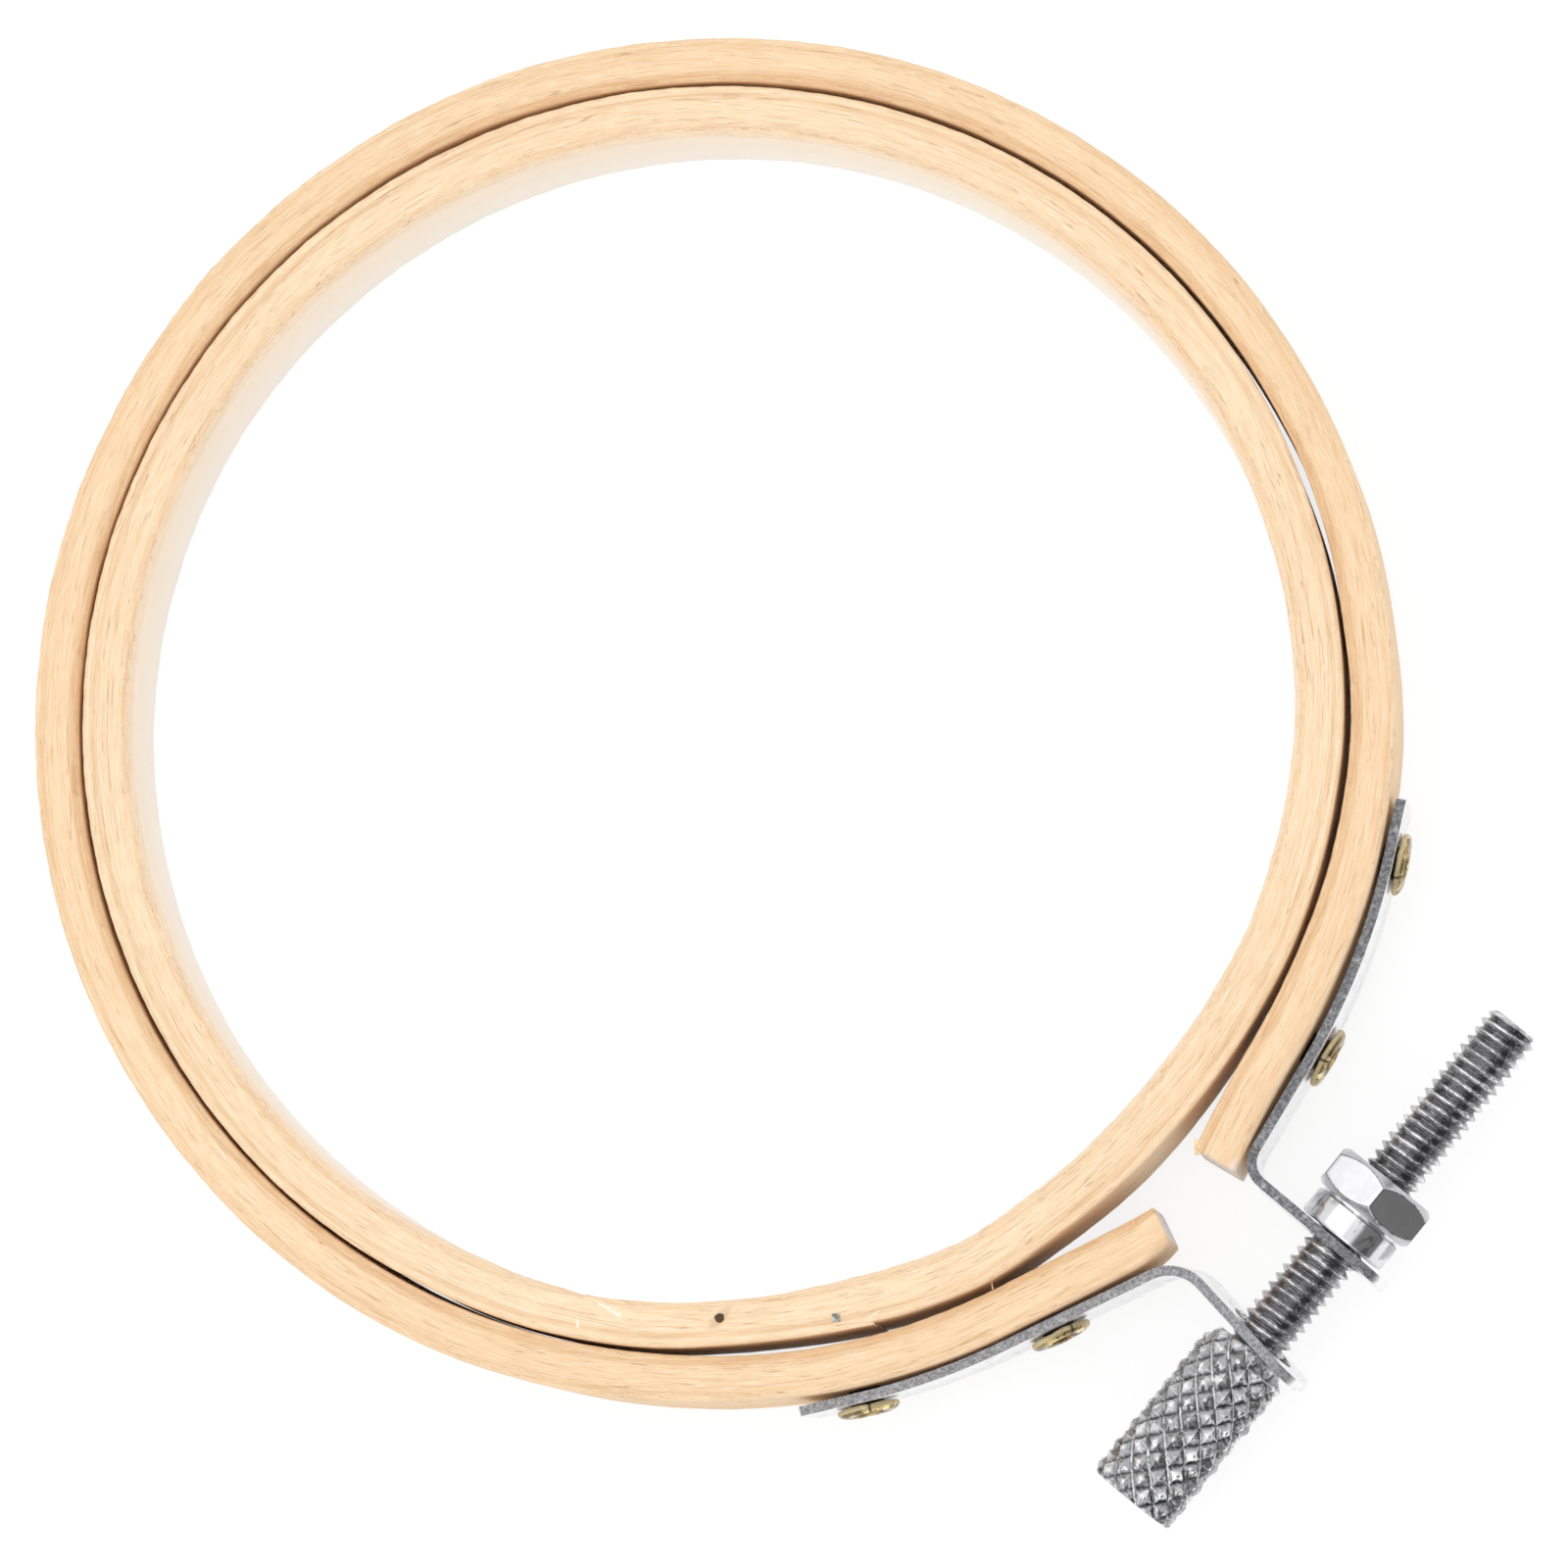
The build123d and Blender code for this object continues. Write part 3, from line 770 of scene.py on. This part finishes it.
fade = np.clip(toShoulder / 0.7, 0.1, 1)
depth = screw["knurlDepth"] * fade * np.clip(0.45 + fromEnd / 0.5, 0, 1)
radius = crest - depth * (1 - peak) * wear
shares = (0.03, 0.3, 0.6, 0.85, 0.97)
knurlShell = tube(np.concatenate((
    closingRows(headEnd, 0.03, radius[:1], turn, shares),
    aboutScrew(along, radius, turn),
    closingRows(clamp["shoulderAt"], 0.0, radius[-1:], turn, shares[::-1]),
)))
# The mark on each point is how high it lies between the grooves' floor and the crest, and
# how far it lies from one family of grooves, whose floors get painted glints
closing = np.ones((len(shares), turn.size))
knurlHeights = np.concatenate((closing * 0.6, peak, closing * 0.4)).ravel()
fromGroove = np.concatenate((closing, groove, closing)).ravel()

# Thread: the radius climbs and falls with distance / pitch - turn / 360, with a narrow
# crest, and is chamfered at the tip.
start = clamp["shoulderAt"] - screw["threadInHead"]
rowsPerTurn = 16
count = int((screw["threadEnd"] - start) / screw["threadPitch"] * rowsPerTurn)
along = np.linspace(start, screw["threadEnd"], count)[:, None]
turn = np.linspace(0, 2 * np.pi, 72, endpoint=False)[None, :]
flank = zigzag(along / screw["threadPitch"] - turn / (2 * np.pi))
flank = np.clip(flank * 1.28 - 0.12, 0, 1)
crest = screw["threadRadius"] + 0.012 * waves(along + turn, 51, (5.0, 2.3, 0.9))
radius = screw["threadRoot"] + (crest - screw["threadRoot"]) * flank
intoTip = np.clip(along - screw["threadEnd"] + screw["tipChamfer"], 0, 9)
limit = screw["threadRadius"] - 0.03 - intoTip * 0.9
nearTip = along > screw["threadEnd"] - screw["tipChamfer"] * 1.5
radius = np.where(nearTip, np.minimum(radius, limit), radius)
shares = (0.96, 0.8, 0.5, 0.2, 0.04)
threadShell = tube(np.concatenate((
    aboutScrew(along, radius, turn),
    closingRows(screw["threadEnd"], 0.02, radius[-1:], turn, shares),
)))
closing = np.full((len(shares), turn.size), 0.5)
threadHeights = np.concatenate((0.14 + 0.6 * flank, closing)).ravel()
heights = np.concatenate((knurlHeights, (0.5, 0.4), threadHeights, (0.4, 0.6)))
fromGroove = np.concatenate((fromGroove, np.ones(len(heights) - len(fromGroove))))

f = Finish("screwSteel")
speck = f.noise(f.place(), 1100.0, 4.0, 0.7)
blot = f.noise(f.place(), 700.0, 3.0, 0.65)
lathe = f.noise(f.scaled(f.place(), (1.0, 0.12, 0.12)), 7000.0, 2.0, 0.6)
height, nearGroove = f.parts(f.mark())[:2]
# Painted shade: darker down in the knurl's and the thread's grooves
tone = f.mix(height.between(0.02, 0.4), screw["groove"], screw["body"])
tone = f.mix(speck.between(0.5, 0.7) * 0.7, tone, screw["stain"])
# Painted highlights: glints on one family's groove floors, along turning marks and on random facets
floorGlints = (1 - nearGroove.between(0.05, 0.17)) * speck.between(0.38, 0.5) * 0.8
tone = f.mix(floorGlints, tone, screw["worn"])
latheGlints = lathe.between(0.56, 0.7) * (1 - height.between(0.6, 0.8)) * 0.5
tone = f.mix(latheGlints, tone, screw["worn"])
tone = f.mix((height * 0.35 + blot).between(0.72, 0.86) * 0.9, tone, screw["worn"])
screwSteel = f.done(
    Base_Color=tone, Metallic=1.0, Roughness=screw["roughness"] + blot * 0.2,
    Normal=f.bump(0.8, 0.00022, speck * 0.5 + blot),
)
piece(
    "thumbScrew", [knurlShell, threadShell], screwSteel, "thumb_screw",
    ("thumb_screw",), sharp=24, grain=np.stack((heights, fromGroove, heights), axis=-1),
)

# Nut: at each station a radius that is cut by the hexagon where the flag says so. The
# hexagon's radius is half its width over the cosine of the turn from the flat's middle.
nut = {
    "start": 4.27,
    "collarRadius": 3.08,
    "collarLength": 2.03,
    "collarEdge": 0.28,
    "hexLength": 2.75,
    "undercut": 0.24,
    "acrossFlats": 6.8,
    "chamferDepth": 0.66,            # along the nut, at its corners
    "chamferInset": 0.25,
    "turn": 7.0,
    "bore": 1.93,
    "bright": colour(238, 238, 240),
    "hazy": colour(222, 222, 224),
    "cone": colour(172, 172, 175),
    "blotch": colour(120, 120, 123),
    # edge: painted shade, thin dark lines along the facets' edges
    "edge": colour(96, 96, 98),
}
bore, collarRadius = nut["bore"], nut["collarRadius"]
apothem = nut["acrossFlats"] / 2
cornerRadius = apothem / np.cos(np.pi / 6)
hexStart = nut["start"] + nut["collarLength"]
hexEnd = hexStart + nut["hexLength"]
curve = np.linspace(0, np.pi / 2, 7)
collar = np.stack((nut["start"] + nut["collarEdge"] * (1 - np.cos(curve)),
                   collarRadius - nut["collarEdge"] * (1 - np.sin(curve))), axis=-1)
stations = [(nut["start"] + 0.25, bore, 0), (nut["start"] + 0.02, bore + 0.25, 0)]
stations += [(a, r, 0) for a, r in collar]
stations += [(hexStart - a, collarRadius, 0) for a in (0.9, 0.3)]
stations += [(hexStart - a, collarRadius - nut["undercut"], 0) for a in (0.16, 0.03)]
chamfer = np.linspace(0, 1, 9)
deep = nut["chamferDepth"]
least = apothem - nut["chamferInset"]
flats = np.linspace(hexStart + deep + 0.1, hexEnd - deep - 0.1, 4)
stations += [(hexStart + deep * t, least + (cornerRadius - least) * t, 1) for t in chamfer]
stations += [(a, cornerRadius + 1, 1) for a in flats]
stations += [(hexEnd - deep * t, least + (cornerRadius - least) * t, 1) for t in chamfer[::-1]]
stations += [(hexEnd, bore + 0.9, 0), (hexEnd, bore + 0.3, 0), (hexEnd - 0.28, bore, 0)]
along, plainRadius, isHex = np.array(stations, float).T[:, :, None]
isHex = isHex > 0
turn = np.linspace(0, 2 * np.pi, 216, endpoint=False)[None, :]
fromFlat = (turn - np.radians(nut["turn"])) % (np.pi / 3) - np.pi / 6
hexRadius = np.minimum(apothem / np.cos(fromFlat), cornerRadius * 0.992)
radius = np.where(isHex, np.minimum(plainRadius, hexRadius), plainRadius)
# The mark is the distance from a flat's nearest edge, whether the point is on a cone, and
# whether it is on the collar
fromCone = plainRadius - hexRadius
fromCorner = abs(abs(fromFlat) - np.pi / 6) * 3
fromEdge = np.where(isHex & (fromCone > 0), fromCorner, 1)
fromEdge = np.minimum(np.where(isHex, abs(fromCone), 1), fromEdge)
onCone = isHex & (fromCone < 0.02)
nutMarks = np.stack(np.broadcast_arrays(fromEdge, onCone, along < hexStart - 0.1), axis=-1)
f = Finish("nutNickel")
haze = f.noise(f.place(), 420.0, 4.0, 0.6)
brush = f.noise(f.scaled(f.place(), (1.0, 6.0, 6.0)), 500.0, 3.0)
nearEdge, cone, onCollar = f.parts(f.mark())
blotch = f.noise(f.scaled(f.place(), (0.6, 1.0, 1.0)), 900.0, 3.0, 0.6)
tone = f.mix(haze.between(0.35, 0.7), nut["bright"], nut["hazy"])
tone = f.mix(cone * (0.5 + brush * 0.4), tone, nut["cone"])
tone = f.mix(onCollar * blotch.between(0.52, 0.6) * 0.6, tone, nut["blotch"])
# Painted shade: thin dark lines along the facets' edges and the cones' borders
line = 1 - nearEdge.between(0.02, 0.08)
nutNickel = f.done(
    Base_Color=f.mix(line * 0.7, tone, nut["edge"]), Metallic=1.0,
    Roughness=0.1 + brush * 0.12, Normal=f.bump(0.12, 0.00005, haze),
)
piece(
    "clampNut", [torus(aboutScrew(along, radius, turn))], nutNickel, "clamp_nut",
    ("clamp_nut",), sharp=26, grain=nutMarks.reshape(-1, 3),
)
print("screw and nut made")

# Brackets keep their CAD nodes. A sheared edge faces up or down and is grey and speckled;
# the faces are bright zinc.
bracket = {
    "face": colour(248, 248, 249),
    "dull": colour(214, 214, 216),
    # The sheared edge's pits and its plain tone; the nut side's are darker, as painted shade
    "bracket_screw_side": (colour(128, 128, 130), colour(176, 176, 178)),
    "bracket_nut_side": (colour(98, 98, 101), colour(150, 150, 153)),
    "edge": 0.00006,
}
for name in ("bracket_screw_side", "bracket_nut_side"):
    pit, plain = bracket[name]
    f = Finish(name + "_steel")
    sheared = abs(f.parts(f.node("NewGeometry", output="Normal"))[2]).between(0.55, 0.75)
    speck = f.noise(f.place(), 5200.0, 3.0, 0.75)
    grit = f.noise(f.place(), 1500.0, 3.0, 0.6)
    edgeTone = f.mix(speck.between(0.42, 0.6), pit, plain)
    edgeTone = f.mix(grit.between(0.58, 0.7) * 0.55, edgeTone, bracket["dull"])
    faceTone = f.mix(grit.between(0.5, 0.75), bracket["face"], bracket["dull"])
    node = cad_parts[name]
    node.data.materials.clear()
    node.data.materials.append(f.done(
        Base_Color=f.mix(sheared, faceTone, edgeTone), Metallic=0.85 - sheared * 0.35,
        Roughness=0.22 + sheared * 0.3 + grit * 0.12,
        Normal=f.bump(0.3, 0.00004, speck * sheared + grit * 0.3),
    ))
    weld = node.modifiers.new("weld", "WELD")
    weld.merge_threshold = 1e-6
    bevel = node.modifiers.new("edges", "BEVEL")
    bevel.width, bevel.segments = bracket["edge"], 2
    bevel.limit_method, bevel.angle_limit = "ANGLE", np.radians(40)

# Rivets: brass eyelets turned from a profile of (radius, height over the strip). For the
# end inside the wall the heights are over the depth.
rivet = {
    "profile": ((0.78, 0.1), (0.82, 0.42), (0.95, 0.58), (1.15, 0.66), (1.4, 0.68), (1.62, 0.64),
                (1.8, 0.55), (1.93, 0.42), (1.98, 0.3), (1.96, 0.2), (1.88, 0.13), (1.78, 0.14),
                (1.72, 0.2), (1.6, 0.22), (1.3, 0.2), (1.08, 0.1), (1.05, 0.0)),
    "inside": ((1.05, 0.5), (1.6, 0.22), (1.9, 0.08), (1.84, 0.0), (1.0, 0.0), (0.78, 0.2)),
    # Body, angle, way along the straight, radius of the strip's outer face, level and depth
    "places": {
        "rivet_screw_side_near": ("screw_side", -20.0, 3.05, 44.22, 0.234, 3.78),
        "rivet_screw_side_far": ("screw_side", -32.657, 0.0, 44.22, 0.234, 3.76),
        "rivet_nut_side_near": ("nut_side", 15.075, 0.0, 43.97, 0.366, 3.92),
        "rivet_nut_side_far": ("nut_side", 31.807, 0.0, 43.97, 0.366, 3.78),
    },
    "unround": 0.035,
    "brass": colour(222, 196, 132),
    "tarnish": colour(122, 102, 60),
    "spot": colour(84, 68, 40),
    "glint": colour(252, 232, 170),
    "rim": colour(214, 196, 156),
    "notch": colour(70, 54, 32),
    # Painted shade under the head, near the strip
    "shadeUnderHead": colour(60, 52, 38),
}
# The mark is (turn from the notch in the rim, radius, height)
f = Finish("rivetBrass")
turned, outwards, height = f.parts(f.mark())
tarnish = f.noise(f.place(), 800.0, 4.0, 0.65)
spot = f.noise(f.place(), 2600.0, 3.0)
glint = f.noise(f.place(), 1500.0, 1.0)
tone = f.mix(tarnish.between(0.38, 0.56), rivet["brass"], rivet["tarnish"])
tone = f.mix(spot.between(0.56, 0.64) * 0.8, tone, rivet["spot"])
tone = f.mix(glint.between(0.6, 0.66), tone, rivet["glint"])
rim = outwards.between(1.84, 1.92)
tone = f.mix(rim * 0.8, tone, rivet["rim"])
notch = 1 - abs(turned + (spot - 0.5) * 0.1).between(0.03, 0.06)
tone = f.mix(notch * 0.8, tone, rivet["notch"])
# Painted shade: darker under the head, next to the strip
shadeUnderHead = (0.24 - height).between(0.0, 0.06) * (1 - rim)
rivetBrass = f.done(
    Base_Color=f.mix(shadeUnderHead, tone, rivet["shadeUnderHead"]), Metallic=0.95 - rim * 0.45,
    Roughness=0.1 + tarnish * 0.15 + rim * 0.3, Normal=f.bump(0.8, 0.0002, tarnish - notch),
)
turn = np.linspace(0, 2 * np.pi, 72, endpoint=False)[None, :]
for i, (name, place) in enumerate(rivet["places"].items()):
    body, angle, forward, seatRadius, level, depth = place
    inside = tuple((r, h - depth) for r, h in rivet["inside"])
    radius, height = np.array(rivet["profile"] + inside, float).T[:, :, None]
    outward, sideways = polar(1.0, angle), polar(1.0, angle + 90)
    seat = np.array((*(outward * seatRadius + sideways * forward), level))
    # The rim isn't quite round or level
    onRim = np.clip(radius - 1.1, 0, 1) * (height > 0)
    wobble = rivet["unround"] * waves(turn * 7 + i * 3, 61 + i, (17.0, 9.0, 5.0)) * onRim
    outward, sideways = np.array((*outward, 0)), np.array((*sideways, 0))
    disc = sideways * np.cos(turn)[..., None] + np.array((0, 0, 1)) * np.sin(turn)[..., None]
    rows = seat + outward * (height + wobble)[..., None] + disc * (radius + wobble)[..., None]
    # The notch lies near the top, further round on each next rivet
    fromNotch = (turn - np.pi / 2 + 0.5 - i * 0.35 + np.pi) % (2 * np.pi) - np.pi
    marks = np.stack(np.broadcast_arrays(fromNotch, radius, height), axis=-1).reshape(-1, 3)
    piece("brass_" + name, [torus(rows)], rivetBrass, body, (name,), grain=marks)
print("clamp made")

studio = {
    "floorAt": -4.06,
    "floorHalf": 4000.0,
    # The floor's grey as it lights the object, and as it is seen, with a glow added
    "floorGrey": (0.85, 0.85, 0.85, 1),
    "seenGrey": (0.2, 0.2, 0.2, 1),
    "seenGlow": 0.84,
    "sky": 0.92,                     # the room's even light
    "card": 0.17,                    # a dark card that stands low on the clamp's side
    # Place in metres, size, power, and whether metal reflects it
    "lamps": {
        "aboveLamp": ((-0.15, 0.35, 0.9), 0.9, 1.8, True),
        "sideLamp": ((-0.8, -0.2, 0.5), 0.5, 0.7, True),
        "fillLamp": ((0.75, -0.35, 0.4), 0.5, 0.55, False),
    },
}
half, level = studio["floorHalf"] * millimetre, studio["floorAt"] * millimetre
floorMesh = bpy.data.meshes.new("floor")
floorMesh.from_pydata([(a * half, b * half, level) for a, b in diagonals], [], [(0, 1, 2, 3)])
floor = bpy.data.objects.new("floor", floorMesh)
bpy.context.scene.collection.objects.link(floor)
f = Finish("floorFinish")
seen = f.ray("Is Camera Ray")
for kind in ("Is Glossy Ray", "Is Transmission Ray"):
    seen = seen.maths("MAXIMUM", seen, f.ray(kind))
plain = f.node("BsdfDiffuse", {}, {"Color": studio["floorGrey"]})
faint = f.node("BsdfDiffuse", {}, {"Color": studio["seenGrey"]})
glow = f.node("Emission", {}, {"Color": (1, 1, 1, 1), "Strength": studio["seenGlow"]})
white = f.node("AddShader", {}, {0: faint, 1: glow})
f.node("OutputMaterial", {}, {"Surface": f.node("MixShader", {}, {0: seen, 1: plain, 2: white})})
floorMesh.materials.append(f.owner)
floor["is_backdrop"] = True

# The world is an even light, white to the camera, with a dark card that metal reflects
world = bpy.data.worlds.new("studio")
bpy.context.scene.world = world
f = Finish(world)
skyY = f.parts(f.node("TexCoord", output="Generated"))[1]
card = (0 - skyY).between(0.42, 0.55) * f.ray("Is Glossy Ray")
dimmed = studio["sky"] - card * (studio["sky"] - studio["card"])
strength = dimmed + f.ray("Is Camera Ray") * (1 - studio["sky"])
background = f.node("Background", {}, {"Color": (1, 1, 1, 1), "Strength": strength})
f.node("OutputWorld", {}, {"Surface": background})

# Square lamps, turned to face the hoop
for name, (place, size, power, reflected) in studio["lamps"].items():
    light = bpy.data.lights.new(name, "AREA")
    light.shape, light.size, light.energy = "SQUARE", size, power
    lamp = bpy.data.objects.new(name, light)
    bpy.context.scene.collection.objects.link(lamp)
    lamp.location = place
    lamp.rotation_euler = (-Vector(place)).to_track_quat("-Z", "Y").to_euler()
    lamp.visible_glossy = reflected
    lamp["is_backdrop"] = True

# Camera: the place it stands, the point it looks at, its roll and its focal length in
# picture widths, found from the photograph's ellipses
view = {
    "stands": (-0.8795, -106.9597, 537.2383),
    "looksAt": (0.16404, -5.99929, 0.0),
    "roll": -0.79911566,
    "focal": 8861.646 / 1600,
    "sensor": 36.0,
}
stands, looksAt = np.array(view["stands"]), np.array(view["looksAt"])
ahead = (looksAt - stands) / np.linalg.norm(looksAt - stands)
right = np.cross(ahead, (0, 1, 0))
right /= np.linalg.norm(right)
over = np.cross(right, ahead)
cosine, sine = np.cos(view["roll"]), np.sin(view["roll"])
right, over = cosine * right + sine * over, -sine * right + cosine * over
lens = bpy.data.cameras.new("camera")
lens.sensor_width, lens.lens = view["sensor"], view["sensor"] * view["focal"]
lens.clip_start, lens.clip_end = 0.01, 20
camera = bpy.data.objects.new("camera", lens)
bpy.context.scene.collection.objects.link(camera)
camera.matrix_world = Matrix((
    (right[0], over[0], -ahead[0], stands[0] * millimetre),
    (right[1], over[1], -ahead[1], stands[1] * millimetre),
    (right[2], over[2], -ahead[2], stands[2] * millimetre),
    (0, 0, 0, 1),
))
bpy.context.scene.camera = camera
bpy.context.scene.view_settings.view_transform = "Standard"
print("studio ready")

low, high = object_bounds()
